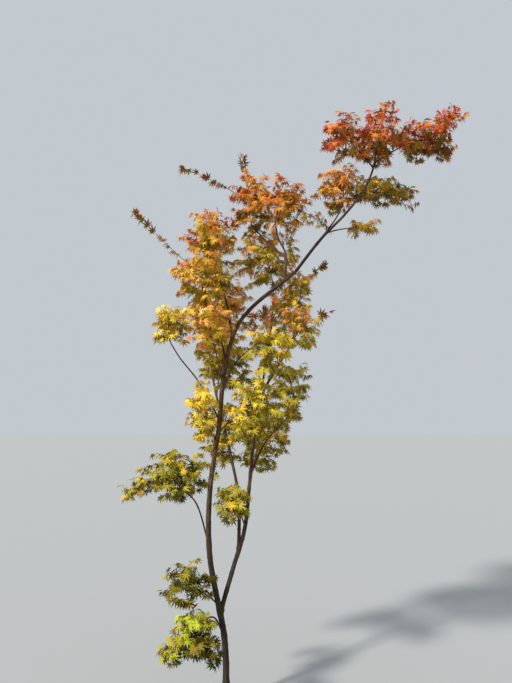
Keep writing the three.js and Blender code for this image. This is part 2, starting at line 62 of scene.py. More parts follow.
# Trunk and boughs: the parent and how far along it, the bends and the tip, and the two radii
LIMBS = {
    "trunk": (
        None,
        [(0, 0, 0), (0, 0, 80), (-10, 0, 300), (-85, -20, 690), (-88, -35, 1000), (-42, -50, 1345),
         (-20, -60, 1600), (38, -70, 1825), (110, -80, 1928), (350, -100, 2127)],
        (15.5, 9),
    ),
    "leader": (
        ("trunk", 1),
        [(484, -120, 2298), (617, -130, 2436), (705, -145, 2550), (758, -150, 2662), (782, -150, 2780)],
        (8.4, 4.4),
    ),
    "crown_left_bough": (("leader", 0.87), [(710, -170, 2730), (660, -195, 2770)], (4, 3)),
    "crown_right_bough": (("leader", 0.9), [(835, -130, 2755), (925, -100, 2820)], (4.2, 3)),
    "shelf_bough": (("leader", 0.25), [(572, -100, 2425), (603, -85, 2490)], (4.8, 3.4)),
    "centre_bough": (
        ("trunk", 0.97),
        [(302, -75, 2230), (265, -65, 2320), (250, -60, 2390)],
        (6.4, 4.2),
    ),
    "centre_left_bough": (("centre_bough", 0.4), [(215, -10, 2310), (140, 15, 2400)], (4.6, 3.6)),
    "left_top_bough": (
        ("trunk", 0.79),
        [(-8, -45, 1960), (-40, -15, 2080), (-70, 0, 2200)],
        (6.6, 4.2),
    ),
    "left_mid_bough": (
        ("trunk", 0.73),
        [(-45, -95, 1810), (-100, -130, 1910), (-115, -150, 1960)],
        (5.4, 3.8),
    ),
    "left_reach_bough": (
        ("trunk", 0.6),
        [(-100, -75, 1475), (-160, -100, 1575), (-240, -125, 1675), (-280, -140, 1740)],
        (4.6, 3),
    ),
    "rear_stem": (
        ("trunk", 0.185),
        [(30, 50, 620), (84, 95, 790), (110, 120, 1020), (150, 145, 1380), (190, 160, 1530)],
        (12, 8),
    ),
    "rear_left_stem": (
        ("rear_stem", 0.26),
        [(52, 125, 950), (15, 155, 1136), (-35, 185, 1330), (-95, 215, 1570), (-130, 235, 1800)],
        (9.5, 5),
    ),
    "rear_right_bough": (
        ("rear_stem", 1),
        [(255, 180, 1640), (345, 200, 1790), (392, 210, 2000)],
        (7.2, 4.2),
    ),
    "rear_up_bough": (
        ("rear_stem", 0.93),
        [(196, 130, 1640), (222, 100, 1800), (240, 90, 1990)],
        (6.4, 4),
    ),
    "rear_back_bough": (
        ("rear_stem", 0.8),
        [(165, 215, 1480), (195, 290, 1650), (205, 330, 1830)],
        (6.8, 4.4),
    ),
    "right_low_bough": (("rear_stem", 0.6), [(200, 95, 1250), (320, 60, 1380)], (5.6, 3.8)),
    "front_right_bough": (("trunk", 0.66), [(35, -125, 1640), (140, -200, 1730)], (5, 3.6)),
    "left_base_bough": (("trunk", 0.33), [(-165, 5, 950), (-240, 25, 1010)], (4.6, 3.4)),
    "base_bough": (("trunk", 0.135), [(-60, -60, 420), (-120, -125, 425)], (4.4, 3.4)),
}
SUNK = 3  # how far a limb that carries on from a tip starts inside it
FLARE = {"spread": 17, "height": 55, "ribs": 5, "depth": 0.16}  # root flare at the ground
CURVE_STEPS = 200  # short straight steps that give the length of a curve
NUDGE = 1e-4  # how far before and after a point its way is taken
TINY = 1e-6
JUST_UNDER_ONE = 0.999

# The bark's mesh and its relief. Lumps and fissures are shares of the radius, with how often they
# come around the limb and how long they are. Nodes are the rings where leaves once grew.
BARK = {
    "ring": 5, "sides": 28, "trunk_sides": 44,
    "lump": 0.07, "lumps_around": 0.9, "lump_length": 55,
    "fissure": 0.035, "fissures_around": 5, "fissure_length": 30,
    "node": 0.1, "node_gap": 85, "node_start": 0.3, "node_width": 5,
    "swelling": 0.12, "swelling_length": 22, "collar": 0.45, "collar_length": 9,
}
# The wood and the patches of each kind of bark, from dark to light
OLD_BARK = ([0x2A1A0E, 0x52361E, 0x7C5434], [0x56462C, 0x7C6640])
YOUNG_BARK = ([0x24120B, 0x44241B, 0x663C32], [0x402A20, 0x62483C])
# The leader's bark is the young bark again, with painted shade of its own
BARKS = {"bark": OLD_BARK, "young_bark": YOUNG_BARK, "leader_bark": YOUNG_BARK}
BARK_KINDS = {"trunk": "bark", "rear_stem": "bark", "rear_left_stem": "bark", "leader": "leader_bark"}
# Painted shade on the bark along its length, which is counted from the height of the limb's foot: it
# is darker and greener near the ground, and darker around the bend of the trunk and the foot of the
# leader.
PAINTED_GROUND_SHADE = (500, 0x828C58)
PLAIN = 0xFFFFFF
PAINTED_SHADES = {
    "bark": [PAINTED_GROUND_SHADE, (1500, PLAIN), (1850, PLAIN), (2050, 0xB4A68A)],
    "young_bark": [PAINTED_GROUND_SHADE, (1500, PLAIN)],
    "leader_bark": [(2350, 0x968272), (2600, PLAIN)],
}
PAINTED_SHADES_TOP = 4000  # above the last of them

# Masses of foliage: the limb and share that carries it, the middle and size of its space, its main
# twigs, how leafy it is, and its tints from the shaded inside to the sunny edge. Some have whips,
# which are long shoots out of the space: their kind, where they bend to, and their tip.
CROWN = ("brown", "olive", "amber", "rust", "orange", "rust", "orange", "brick", "orange", "brick")
CROWN_TIP = ("brown", "amber", "rust", "orange", "brick", "orange", "scarlet", "brick")
SHELF = ("olive", "amber", "orange", "amber", "apricot", "orange", "apricot", "orange")
OLIVE = ("olive", "amber", "olive", "amber", "gold", "amber")
CENTRE = ("olive", "amber", "olive", "amber", "orange", "amber", "orange", "rust", "orange")
TOP = ("olive", "moss", "gold", "amber", "gold", "orange", "apricot", "orange", "rust")
GOLDEN = ("olive", "moss", "gold", "moss", "gold", "orange", "gold", "apricot")
SUNLIT = ("olive", "gold", "moss", "yellow", "gold", "yellow", "gold", "yellow")
MOSSY = ("olive", "moss", "olive", "gold", "moss", "yellow", "moss", "gold")
# Lighter tints, a painted glow of light on the masses that take them
GLOW = ("olive", "gold", "apricot", "gold", "orange", "apricot", "yellow")
MIXED = ("olive", "moss", "gold", "amber", "gold", "apricot", "gold", "orange")
LOW = ("olive", "moss", "olive", "gold", "moss", "yellow")
# The base, deep shade and dim palettes are kept dark, a painted shade on the low masses
BASE = ("fern", "fern", "fern", "olive", "fern", "moss", "moss", "lime")
DEEP_SHADE = ("fern", "olive", "fern", "fern", "olive", "moss")
DIM = ("fern", "olive", "fern", "moss", "olive", "moss", "gold", "moss")
THIN_TINTS = ("olive", "amber", "olive", "brown", "brown", "brick")
MASSES = {
    "crown_left": (("crown_left_bough", 1), (590, -210, 2815), (200, 290, 215), 4, 1, CROWN_TIP),
    "crown_mid": (
        ("leader", 1), (805, -140, 2838), (290, 350, 250), 5, 1.1, CROWN,
        [("sprig", (825, -140, 2965), (855, -130, 3060))],
    ),
    "crown_right": (
        ("crown_right_bough", 1), (1050, -70, 2875), (255, 320, 190), 5, 1.1, CROWN,
        [
            ("spray", (1150, -40, 2990), (1255, -30, 3058)),
            ("spray", (1150, -60, 2895), (1180, -60, 2832)),
        ],
    ),
    "shelf_left": (("shelf_bough", 1), (605, -60, 2600), (270, 290, 245), 4, 1.2, SHELF),
    "shelf_right": (
        ("leader", 0.62), (805, -20, 2602), (300, 300, 130), 4, 1.1, OLIVE,
        [("spray", (915, -20, 2605), (972, -20, 2578))],
    ),
    "shelf_small": (("leader", 0.33), (715, -70, 2375), (190, 210, 90), 3, 0.6, OLIVE),
    "centre_right": (
        ("centre_bough", 1), (302, -95, 2488), (250, 300, 300), 5, 1, CENTRE,
        [("sprig", (420, -100, 2450), (505, -100, 2390))],
    ),
    "centre_left": (
        ("centre_left_bough", 1), (130, 10, 2530), (262, 320, 350), 5, 1, CENTRE,
        [("thin", (-10, 10, 2655), (-255, 15, 2755)), ("thin", (80, 30, 2695), (68, 60, 2845))],
    ),
    "centre_inner": (("rear_up_bough", 1), (200, 140, 2260), (385, 350, 375), 5, 0.8, GOLDEN),
    "left_top": (("left_top_bough", 1), (-110, -20, 2310), (280, 360, 350), 5, 1, TOP),
    "left_mid": (
        ("left_mid_bough", 1), (-120, -170, 2075), (330, 360, 285), 5, 1, MIXED,
        [("thin", (-340, -110, 2280), (-492, -100, 2450))],
    ),
    "left_front": (("trunk", 0.68), (-95, -190, 1820), (250, 300, 245), 4, 1, GLOW),
    "left_tip": (("left_reach_bough", 1), (-285, -150, 1830), (210, 290, 215), 4, 1, SUNLIT),
    "left_rear": (("rear_left_stem", 1), (-55, 280, 2040), (365, 370, 455), 5, 0.9, GLOW),
    "left_inner": (("rear_left_stem", 0.72), (-30, 90, 1665), (335, 340, 340), 5, 0.9, MOSSY),
    "left_low": (("trunk", 0.545), (-125, -130, 1405), (160, 310, 305), 4, 0.9, SUNLIT),
    "left_low_rear": (("rear_left_stem", 0.4), (-35, 270, 1275), (300, 350, 400), 5, 0.8, LOW),
    "rear_right": (
        ("rear_right_bough", 1), (400, 235, 2130), (190, 280, 215), 4, 0.5, GOLDEN,
        [("thin", (450, 230, 2190), (530, 200, 2240))],
    ),
    "rear_back": (("rear_back_bough", 1), (335, 380, 1995), (250, 350, 420), 5, 0.7, GOLDEN),
    "right_mid": (
        ("rear_right_bough", 0.45), (385, 95, 1850), (225, 300, 325), 4, 0.6, GOLDEN,
        [("thin", (470, 90, 1925), (545, 90, 1950))],
    ),
    "right_low": (("right_low_bough", 1), (310, 30, 1520), (240, 330, 425), 5, 0.8, MOSSY),
    "front_right": (
        ("front_right_bough", 1), (205, -250, 1700), (245, 320, 270), 5, 0.7, MOSSY,
        [
            ("thin", (205, -215, 1800), (232, -200, 1945)),
            ("thin", (170, -190, 1800), (180, -180, 1900)),
            ("thin", (140, -200, 1760), (132, -190, 1862)),
        ],
    ),
    "centre_front": (("trunk", 0.57), (140, -170, 1435), (260, 310, 345), 4, 0.8, LOW),
    "rear_low": (("rear_stem", 0.52), (170, 330, 1265), (340, 370, 415), 5, 0.8, LOW),
    "low_shelf": (("rear_stem", 0.36), (22, -40, 950), (192, 300, 200), 4, 1, DIM),
    "left_base": (
        ("left_base_bough", 1), (-268, 60, 1068), (375, 370, 285), 5, 0.8, DIM,
        [("spray", (-400, 60, 1065), (-505, 60, 1000))],
    ),
    "base_upper": (("trunk", 0.2), (-185, -80, 575), (265, 330, 205), 4, 0.7, DEEP_SHADE),
    "base_spray": (
        ("base_bough", 1), (-125, -240, 425), (200, 330, 175), 5, 1.3, BASE,
        [
            ("spray", (-175, -260, 430), (-222, -290, 370)),
            ("spray", (-70, -280, 420), (-50, -300, 365)),
        ],
    ),
}
FILL = 2.6  # 2 makes the spaces round, and more makes them fuller at their corners
FIRST_SEED = 101

# The record's slot of each tint of leaf, and its plain colour
TINTS = {
    "scarlet": ("leaf_red", 0xC0392C),
    "brick": ("leaf_red", 0xB8492E),
    "rust": ("leaf_orange", 0xBC5F2C),
    "orange": ("leaf_orange", 0xD07F34),
    "apricot": ("leaf_orange", 0xE0A252),
    "amber": ("leaf_gold", 0xBA8C2C),
    "gold": ("leaf_gold", 0xD6AE36),
    "yellow": ("leaf_yellow", 0xE6C83E),
    "brown": ("leaf_olive", 0x7E5626),
    # A dark green that paints the shade on the low masses
    "fern": ("leaf_green", 0x424412),
    "olive": ("leaf_olive", 0x85731F),
    "moss": ("leaf_green", 0xA59A2A),
    "lime": ("leaf_green", 0xB4BA34),
}
# How sunny a spray is: more so towards the outside, the top, the left and the front of its mass. This
# is partly the real colour of sunny leaves and partly painted light and shade, lit on the key light's
# side.
SUN = {"start": 0.14, "out": 0.42, "up": 0.38, "left": 0.2, "front": 0.1, "chance": 0.58}
TINT_SPREAD = 1.7  # how far the leaves of a spray stray from its tint, in steps of its palette

# The rule of growth, as for the solids, and how it is carried on to fine twigs
STEM = {"radius": 4.2, "tip": 2.2, "reach": 0.45, "turn": 0.5}
TWIG = {
    "radius": 2.9, "tip": 1.3, "set_off": 0.4, "spread": 0.6, "seat": (0.15, 0.92),
    "forward": (-0.85, 0.75), "inset": 75, "room": 0.45, "lift": 45, "reach": (0.86, 1),
    "tested": (0.6, 0.8, 1), "of_parent": 0.85,
}
WHIP = {"seat": 0.7, "radius": 2.4, "tip": 0.9}
# A thin whip has a few small leaves and a tuft at its tip. A spray has fine twigs all round it, and
# a sprig has a few of them near its tip.
THIN = {
    "gap": (14, 32), "from": 0.3, "sizes": (0.65, 1.2), "change_side": 0.8,
    "tuft": 7, "tuft_length": 62, "tuft_sizes": (0.75, 1.25), "hang": (-0.4, 0.9), "forward": 2,
}
SPRAYS = {
    "spray": {"twigs": 36, "from": 0.25, "spread": (56, 46)},
    "sprig": {"twigs": 8, "from": 0.5, "spread": (32, 24)},
}
SPRAY_AHEAD = 20  # how far the twigs of a spray lean towards its tip
# Fine twigs, and the seats that a shoot offers them
SHOOT = {
    "radius": 1.3, "tip": 0.7, "per_area": 700, "inset": 12, "room": 0.6, "lift": 14, "inner": 0.3,
    "turn_cost": 0.7, "longest": 210, "shortest": 25, "tested": (0.7, 1),
}
SEATS = {"gap": 12, "first": 0.2, "first_on_fine": 0.35, "last": 0.97}
TUBES = {  # sides and steps of each kind of shoot
    "stem": (8, 12), "twig": (6, 8), "fine": (4, 4), "outer": (4, 4),
    "thin": (6, 16), "spray": (6, 16), "sprig": (6, 16),
}
LUMPS = {"pitch": 2.4, "size": 0.4, "drift": 50}  # how uneven the outline of a mass is
LIMB_CLEARANCE = 8
LIMB_POINT_GAP = 12
EDGE = 1.12  # depth in the space of a mass that its twigs may reach, where 1 is its plain edge
LEAF_EDGE = 1.24  # the same for its leaves
GOLDEN_ANGLE = math.pi * (3 - math.sqrt(5))
SPREAD_STEPS = (0.8191725134, 0.6710436067, 0.5497004779)  # evenly spread points in three directions

# Leaves at life size: length is that of the middle lobe, from the joint to its tip. Pairs of leaves
# grow from the tip of a twig back, with size as their share of that length, and each stalk goes
# partly the way of the twig and partly that of its leaf.
LEAF = {
    "length": 36, "spacing": 20.4, "start": 0.25, "foot": 12, "size": 0.8, "size_step": 0.1,
    "size_most": 1.05, "vary": 0.5, "stalk": 16, "stalk_radius": 0.55, "stalk_least": 0.8,
    "stalk_vary": 0.5, "stalk_ways": (0.8, 0.6), "pair_forward": 0.5, "pair_rise": 0.5,
    "level": 0.4, "hang": (0.1, 1.4), "roll": 1.8, "face": 1.1, "near_tip": 0.9,
}
LEAF_PAIRS = {"stem": 2, "twig": 4, "fine": 4, "outer": 4, "spray": 6, "sprig": 4}
MASS_KINDS = ("stem", "twig", "fine")  # shoots whose leaves keep to the space of the mass
# Lobes by their angle from the middle one, length and half width, and notches by angle and reach
LOBES = [(0, 1.0, 0.105), (38, 0.93, 0.1), (77, 0.74, 0.09), (118, 0.42, 0.065)]
NOTCHES = [(19, 0.3), (58, 0.27), (98, 0.22)]
BLADE = {"corner": (155, 0.12), "corner_fold": 0.05, "notch_fold": 0.1, "rib": 0.5, "widest": 0.52}
BENDS_AND_FOLDS = [(0.22, 0.35), (0.38, 0.2), (0.12, 0.6)]  # of the shapes that leaves take turns in
STALK_SIDES = 3
STALK_TAPER = 0.8

Leaf = namedtuple("Leaf", "foot joint along side over length tint")

RANDOM = {"factor": 1664525, "step": 1013904223, "range": 2**32}
UP = np.array((0.0, 0.0, 1.0))
OFF_UPRIGHT = UP + 0.01  # no stalk is in line with it


def random_from(seed):
    """Seeded random numbers from 0 to 1, the same as in the source of the solids."""
    state = seed

    def draw():
        nonlocal state
        state = (state * RANDOM["factor"] + RANDOM["step"]) % RANDOM["range"]
        return state / RANDOM["range"]

    return draw


def unit(v):
    return v / np.linalg.norm(v, axis=-1, keepdims=True)


class Curve:
    """A smooth curve that gives its points and ways by share of its length."""

    def __init__(self, at):
        self.at = at
        self.t = np.linspace(0, 1, CURVE_STEPS + 1)
        gaps = np.linalg.norm(np.diff(at(self.t), axis=0), axis=1)
        self.lengths = np.concatenate(([0], np.cumsum(gaps)))
        self.length = self.lengths[-1]

    def points(self, shares):
        return self.at(np.interp(np.atleast_1d(shares) * self.length, self.lengths, self.t))

    def ways(self, shares):
        t = np.interp(np.atleast_1d(shares) * self.length, self.lengths, self.t)
        return unit(self.at(np.clip(t + NUDGE, 0, 1)) - self.at(np.clip(t - NUDGE, 0, 1)))


def smooth_curve(path):
    """The smooth curve through the points of path, which makes no loop where they are close."""
    path = np.array(path, float)
    last = len(path) - 1
    ends = np.vstack((2 * path[0] - path[1], path, 2 * path[-1] - path[-2]))

    def at(t):
        place = np.clip(t, 0, 1) * last
        i = np.minimum(place.astype(int), last - 1)
        w = (place - i)[:, None]
        a, b, c, d = (ends[i + k] for k in range(4))
        gaps = [np.sqrt(np.linalg.norm(q - p, axis=1))[:, None] for p, q in ((a, b), (b, c), (c, d))]
        start = ((b - a) / gaps[0] - (c - a) / (gaps[0] + gaps[1]) + (c - b) / gaps[1]) * gaps[1]
        end = ((c - b) / gaps[1] - (d - b) / (gaps[1] + gaps[2]) + (d - c) / gaps[2]) * gaps[1]
        cube = 2 * b - 2 * c + start + end
        square = -3 * b + 3 * c - 2 * start - end
        return b + start * w + square * w**2 + cube * w**3

    return Curve(at)


def bent_curve(foot, bend, tip):
    """The curve that sets off towards bend and comes in from there to its tip."""

    def at(t):
        t = t[:, None]
        return (1 - t) ** 2 * foot + 2 * (1 - t) * t * bend + t**2 * tip

    return Curve(at)


def twig_curve(foot, set_off, tip):
    """A twig sets off along the way its parent goes, and bends out to its tip."""
    return bent_curve(foot, foot + set_off * np.linalg.norm(tip - foot) * TWIG["set_off"], tip)


def frames_along(curve, shares):
    """Two axes across the curve at each share, turning no more than they must. The first is taken
    from the axis of the tree that is least in line with the curve's start."""
    ways = curve.ways(shares)
    least = np.eye(3)[2 - int(np.argmin(np.abs(ways[0][::-1])))]
    across = unit(np.cross(ways[0], np.cross(ways[0], least)))
    normals = [across]
    for way in ways[1:]:
        across = unit(across - way * np.dot(across, way))
        normals.append(across)
    normals = np.array(normals)
    return normals, np.cross(ways, normals)


def tube(curve, radius_at, sides, steps):
    """A closed tube: its vertices, faces and grain, which is where each vertex is on a straight limb.
    radius_at takes the length along it, the angle and the height."""
    shares = np.linspace(0, 1, steps + 1)
    centres = curve.points(shares)
    normals, binormals = frames_along(curve, shares)
    angles = np.arange(sides) * 2 * math.pi / sides
    along, angle = np.meshgrid(shares * curve.length, angles, indexing="ij")
    height = np.repeat(centres[:, 2:3], sides, axis=1)
    radius = radius_at(along, angle, height)
    out = np.cos(angle)[..., None] * normals[:, None] + np.sin(angle)[..., None] * binormals[:, None]
    vertices = (centres[:, None] + out * radius[..., None]).reshape(-1, 3)
    grain = np.stack((radius * np.cos(angle), radius * np.sin(angle), along), -1).reshape(-1, 3)
    ring = np.arange(sides)
    turned = (ring + 1) % sides
    rows = (np.arange(steps) * sides)[:, None]
    quads = np.stack((rows + ring, rows + turned, rows + turned + sides, rows + ring + sides), -1)
    fan = np.arange(1, sides - 1)
    last = steps * sides
    caps = np.stack((np.zeros_like(fan), fan + 1, fan), -1)
    tops = np.stack((np.full_like(fan, last), last + fan, last + fan + 1), -1)
    quads = quads.reshape(-1, 4)
    faces = np.vstack((quads[:, [0, 1, 2]], quads[:, [0, 2, 3]], caps, tops))
    return vertices, faces, grain


def joined(parts):
    """Several meshes as one: each part is its vertices, its faces and, if it has one, its grain."""
    vertices, faces, *grain = zip(*parts)
    counts = np.cumsum([0] + [len(own) for own in vertices[:-1]])
    faces = np.vstack([own + count for own, count in zip(faces, counts)])
    return np.vstack(vertices), faces, *[np.vstack(own) for own in grain]


def add_piece(name, vertices, faces, material, slot, replaced, grain=None):
    """A mesh from millimetres, riding on the tree and standing for the solids that it replaces."""
    mesh = bpy.data.meshes.new(name)
    mesh.vertices.add(len(vertices))
    mesh.vertices.foreach_set("co", (vertices * METRE).astype(np.float32).ravel())
    mesh.loops.add(faces.size)
    mesh.loops.foreach_set("vertex_index", faces.astype(np.int32).ravel())
    mesh.polygons.add(len(faces))
    mesh.polygons.foreach_set("loop_start", np.arange(0, faces.size, 3, dtype=np.int32))
    mesh.polygons.foreach_set("use_smooth", np.ones(len(faces), bool))
    mesh.update(calc_edges=True)
    if grain is not None:
        layer = mesh.attributes.new("grain", "FLOAT_VECTOR", "POINT")
        layer.data.foreach_set("vector", (grain * METRE).astype(np.float32).ravel())
    mesh.materials.append(material)
    piece = bpy.data.objects.new(name, mesh)
    bpy.context.scene.collection.objects.link(piece)
    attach(piece, "root")
    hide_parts(*replaced)


# Limbs


class Limb:
    """The trunk, a stem or a bough: its curve and its radius without the relief."""

    def __init__(self, name, limbs):
        parent, path, self.radius = LIMBS[name]
        path = [np.array(p, float) for p in path]
        self.parent = parent
        if parent:
            start = limbs[parent[0]].curve.points(parent[1])[0]
            if parent[1] == 1:
                start = start + unit(start - path[0]) * SUNK
            path.insert(0, start)
        self.curve = smooth_curve(path)

    def plain_radius(self, share):
        foot, tip = self.radius
        return foot + (tip - foot) * share


def bark_relief(limb, seats, along, angle):
    """How much the bark stands out, as a share of the radius: slow lumps, fine lengthwise fissures,
    rings where leaves once grew, and a swelling where each bough leaves it."""
    x, y = np.cos(angle), np.sin(angle)
    offset = limb.curve.length
    relief = np.zeros(along.shape)

    def bump(i, j, around, length):
        place = (x[i, j] * around, y[i, j] * around, along[i, j] / length + offset)
        return noise.noise(Vector(place))

    for i, j in np.ndindex(along.shape):
        lump = bump(i, j, BARK["lumps_around"], BARK["lump_length"])
        fissure = bump(i, j, BARK["fissures_around"], BARK["fissure_length"])
        relief[i, j] = BARK["lump"] * lump + BARK["fissure"] * fissure
    ring = np.abs((along / BARK["node_gap"] + BARK["node_start"]) % 1 - 0.5) * BARK["node_gap"]
    relief += BARK["node"] * np.exp(-((ring / BARK["node_width"]) ** 2))
    for seat in seats:
        relief += BARK["swelling"] * np.exp(-(((along - seat) / BARK["swelling_length"]) ** 2))
    return relief


def build_limb(name, limbs):
    """The bark of one limb, with the root flare on the trunk and a collar where a bough sets off."""
    limb = limbs[name]
    seats = [
        other.parent[1] * limb.curve.length
        for other in limbs.values()
        if other.parent and other.parent[0] == name and other.parent[1] < 1
    ]
    sunk = limbs[limb.parent[0]].plain_radius(limb.parent[1]) if limb.parent else 0
    joins_side = limb.parent is not None and limb.parent[1] < 1

    def radius_at(along, angle, height):
        plain = limb.plain_radius(along / limb.curve.length)
        if not limb.parent:
            flare = np.exp(-height / FLARE["height"])
            ribs = 1 + FLARE["depth"] * flare * np.cos(FLARE["ribs"] * angle)
            plain = (plain + FLARE["spread"] * flare) * ribs
        if joins_side:
            outside = np.maximum(along - sunk, 0)
            plain = plain * (1 + BARK["collar"] * np.exp(-outside / BARK["collar_length"]))
        return plain * (1 + bark_relief(limb, seats, along, angle))

    sides = BARK["sides"] if limb.parent else BARK["trunk_sides"]
    steps = int(limb.curve.length / BARK["ring"])
    vertices, faces, grain = tube(limb.curve, radius_at, sides, steps)
    vertices[:, 2] = np.maximum(vertices[:, 2], 0)
    grain[:, 2] += limb.curve.points(0)[0][2]
    kind = BARK_KINDS.get(name, "young_bark")
    add_piece(name + "_bark", vertices, faces, bark_material(kind), "bark", [name], grain)


# Foliage


class Space:
    """The rounded space of a mass and its stem, which runs from its limb past the middle."""

    def __init__(self, name, limbs, seed):
        (carrier, share), at, size, self.twigs, self.leafy, self.tints, *whips = MASSES[name]
        limb = limbs[carrier]
        self.name = name
        self.whips = whips[0] if whips else []
        self.random = random_from(seed)
        self.root = limb.curve.points(share)[0]
        self.centre = np.array(at, float)
        self.half = np.array(size, float) / 2
        self.along = unit(self.centre - self.root)
        self.side = unit(np.cross(UP, self.along))
        self.over = np.cross(self.along, self.side)
        tangent = limb.curve.ways(share)[0]
        set_off = tangent if share == 1 else unit(tangent * STEM["turn"] + self.along)
        end = self.centre + self.along * self.half * STEM["reach"]
        self.stem = twig_curve(self.root, set_off, end)
        self.stem_radius = min(limb.radius[1], STEM["radius"])

    def depth(self, points):
        """Distance from the middle, where 1 is the edge of the space."""
        return np.sum(np.abs((points - self.centre) / self.half) ** FILL, axis=-1) ** (1 / FILL)


class Wood:
    """Points all along the limbs, to keep leaves and twigs off them."""

    def __init__(self, limbs):
        points, radii = [], []
        for limb in limbs.values():
            shares = np.linspace(0, 1, int(limb.curve.length / LIMB_POINT_GAP) + 2)
            points.append(limb.curve.points(shares))
            radii.append(limb.plain_radius(shares))
        self.points = np.vstack(points)
        self.radii = np.concatenate(radii)

    def clears(self, points):
        """True for each of the points that keeps well off every limb."""
        gaps = np.linalg.norm(points[:, None] - self.points[None], axis=2) - self.radii
        return gaps.min(axis=1) > LIMB_CLEARANCE


def belongs(space, spaces, points):
    """True for each point that is nearer to this mass's space than to any other."""
    own = space.depth(points)
    free = np.ones(len(points), bool)
    for other in spaces:
        if other is not space:
            free &= other.depth(points) > own
    return free & (own <= EDGE)


def main_tips(space):
    """The tips of the main twigs and their seats on the stem, as in the source of the solids."""
    room = np.maximum(space.half - TWIG["inset"], space.half * TWIG["room"])
    chord = np.linalg.norm(space.stem.points(1)[0] - space.root)
    least, most = TWIG["forward"]
    near, far = TWIG["reach"]
    first, last = TWIG["seat"]
    tips = []
    for i in range(space.twigs):
        forward = least + (most - least) * (i + 0.5) / space.twigs
        aside = math.sqrt(1 - forward * forward)
        turn = i * GOLDEN_ANGLE + space.random()
        reach = near + (far - near) * space.random()
        out = space.along * forward + space.side * aside * math.cos(turn)
        out = out + space.over * aside * math.sin(turn)
        tip = space.centre + out * room * reach + UP * TWIG["lift"]
        ahead = np.dot(tip - space.root, space.along)
        lateral = math.sqrt(max(np.sum((tip - space.root) ** 2) - ahead * ahead, 0))
        seat = (ahead - TWIG["spread"] * lateral) / chord
        tips.append((tip, min(max(seat, first), last)))
    return tips


def fine_tips(space):
    """Tips of fine twigs, spread evenly through the space, the ones nearest the stem's foot first.
    Lumps make the outline uneven."""
    area = np.prod(space.half * 2 * METRE) ** (2 / 3)
    count = int(SHOOT["per_area"] * area * space.leafy)
    starts = [space.random() for _ in SPREAD_STEPS]
    k = np.arange(count)[:, None]
    spread = (np.array(starts) + (k + 0.5) * np.array(SPREAD_STEPS)) % 1
    inner = SHOOT["inner"] ** 3
    reach = (inner + (1 - inner) * spread[:, 0]) ** (1 / 3)
    rise = 2 * spread[:, 1] - 1
    turn = 2 * math.pi * spread[:, 2]
    flat = np.sqrt(1 - rise**2)
    out = np.stack((flat * np.cos(turn), flat * np.sin(turn), rise), -1) * reach[:, None]
    fuller = np.linalg.norm(out, axis=1) / np.sum(np.abs(out) ** FILL, axis=1) ** (1 / FILL)
    offset = Vector((space.random() * LUMPS["drift"], 0, 0))
    lumps = np.array([noise.noise(Vector(v) * LUMPS["pitch"] + offset) for v in out])
    reach = fuller * (1 + LUMPS["size"] * lumps)
    room = np.maximum(space.half - SHOOT["inset"], space.half * SHOOT["room"])
    tips = space.centre + out * reach[:, None] * room + UP * SHOOT["lift"]
    return tips[np.argsort(np.linalg.norm(tips - space.root, axis=1))]


def spray_tips(space, curve, spray):
    """Tips of fine twigs all round a long shoot, which narrow in towards its tip."""
    wide, narrow = spray["spread"]
    ahead = curve.ways(1)[0] * SPRAY_AHEAD
    tips = []
    for i in range(spray["twigs"]):
        share = (i + 0.5) / spray["twigs"]
        along = spray["from"] + (1 - spray["from"]) * share
        off = unit(np.array([space.random() - 0.5 for _ in range(3)]))
        tips.append(curve.points(along)[0] + off * (wide + (narrow - wide) * share) + ahead)
    return tips


class Shoot:
    """A stem, twig or whip: its curve, its radius at both ends and its kind."""

    def __init__(self, curve, foot, tip, kind):
        self.curve = curve
        self.foot = foot
        self.tip = tip
        self.kind = kind

    def radius(self, share):
        return self.foot + (self.tip - self.foot) * share


class Seats:
    """Places on the shoots of a mass where a fine twig can set off."""

    def __init__(self):
        self.places, self.ways, self.radii = [], [], []

    def offer(self, shoot, first):
        """Adds the seats of a shoot, from the share first on."""
        count = max(int(shoot.curve.length / SEATS["gap"]), 2)
        shares = np.linspace(first, SEATS["last"], count)
        self.places.extend(shoot.curve.points(shares))
        self.ways.extend(shoot.curve.ways(shares))
        self.radii.extend(shoot.radius(shares))

    def best_for(self, tip):
        """The seat with the shortest and straightest way to tip, and how far that is."""
        gaps = tip - np.array(self.places)
        lengths = np.linalg.norm(gaps, axis=1)
        turns = 1 - np.sum(gaps * np.array(self.ways), axis=1) / np.maximum(lengths, TINY)
        best = int(np.argmin(lengths * (1 + SHOOT["turn_cost"] * turns)))
        return best, lengths[best]


